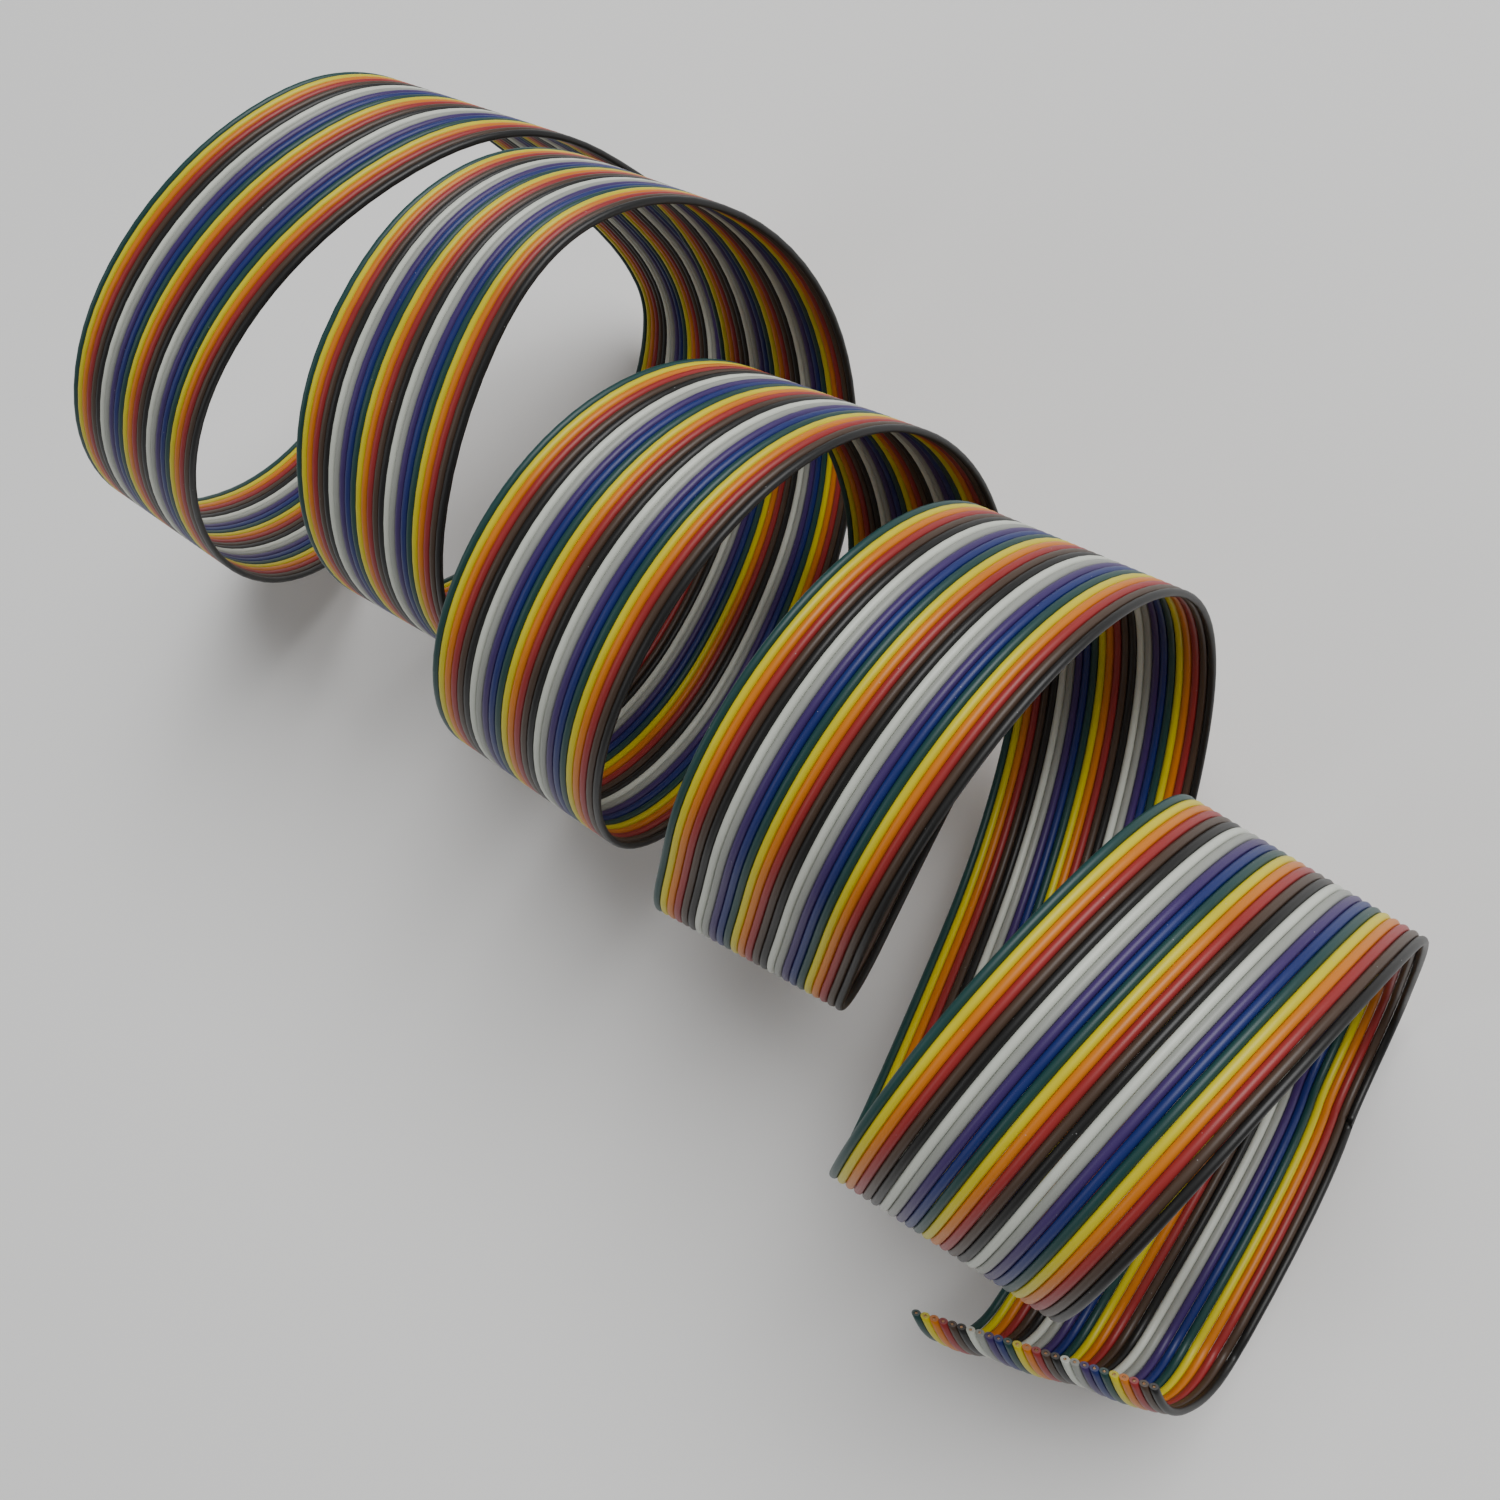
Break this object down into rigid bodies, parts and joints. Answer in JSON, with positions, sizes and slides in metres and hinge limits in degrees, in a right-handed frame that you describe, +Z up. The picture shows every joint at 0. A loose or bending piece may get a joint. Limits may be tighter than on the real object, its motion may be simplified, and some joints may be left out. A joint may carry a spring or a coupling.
{
  "type": "flat ribbon cable",
  "caption": "Rainbow-striped flat ribbon cable of round insulated wires bonded side by side, wound in a loose coil and cut across at one end.",
  "frame": {"origin": "centre of the bounding box's base, on the ground under the coil", "axes": "+X along the coil's axis towards the visible cut end, +Z up off the ground the coil lies on"},
  "size_m": [0.267, 0.1396, 0.0988],
  "materials": {
    "pvc_green": "satin",
    "pvc_yellow": "satin",
    "pvc_orange": "satin",
    "pvc_red": "satin",
    "pvc_brown": "satin",
    "pvc_black": "satin",
    "pvc_white": "satin",
    "pvc_gray": "satin",
    "pvc_violet": "satin",
    "pvc_blue": "satin",
    "conductor": "bright cut copper strands"
  },
  "bodies": {
    "root": {"wire_01_green": "pvc_green", "wire_02_yellow": "pvc_yellow", "wire_03_orange": "pvc_orange", "wire_04_red": "pvc_red", "wire_05_brown": "pvc_brown", "wire_06_black": "pvc_black", "wire_07_white": "pvc_white", "wire_08_gray": "pvc_gray", "wire_09_violet": "pvc_violet", "wire_10_blue": "pvc_blue", "wire_11_green": "pvc_green", "wire_12_yellow": "pvc_yellow", "wire_13_orange": "pvc_orange", "wire_14_red": "pvc_red", "wire_15_brown": "pvc_brown", "wire_16_black": "pvc_black", "wire_17_white": "pvc_white", "wire_18_gray": "pvc_gray", "wire_19_violet": "pvc_violet", "wire_20_blue": "pvc_blue", "wire_21_green": "pvc_green", "wire_22_yellow": "pvc_yellow", "wire_23_orange": "pvc_orange", "wire_24_red": "pvc_red", "wire_25_brown": "pvc_brown", "wire_26_black": "pvc_black", "core_01": "conductor", "core_02": "conductor", "core_03": "conductor", "core_04": "conductor", "core_05": "conductor", "core_06": "conductor", "core_07": "conductor", "core_08": "conductor", "core_09": "conductor", "core_10": "conductor", "core_11": "conductor", "core_12": "conductor", "core_13": "conductor", "core_14": "conductor", "core_15": "conductor", "core_16": "conductor", "core_17": "conductor", "core_18": "conductor", "core_19": "conductor", "core_20": "conductor", "core_21": "conductor", "core_22": "conductor", "core_23": "conductor", "core_24": "conductor", "core_25": "conductor", "core_26": "conductor"}
  },
  "joints": []
}
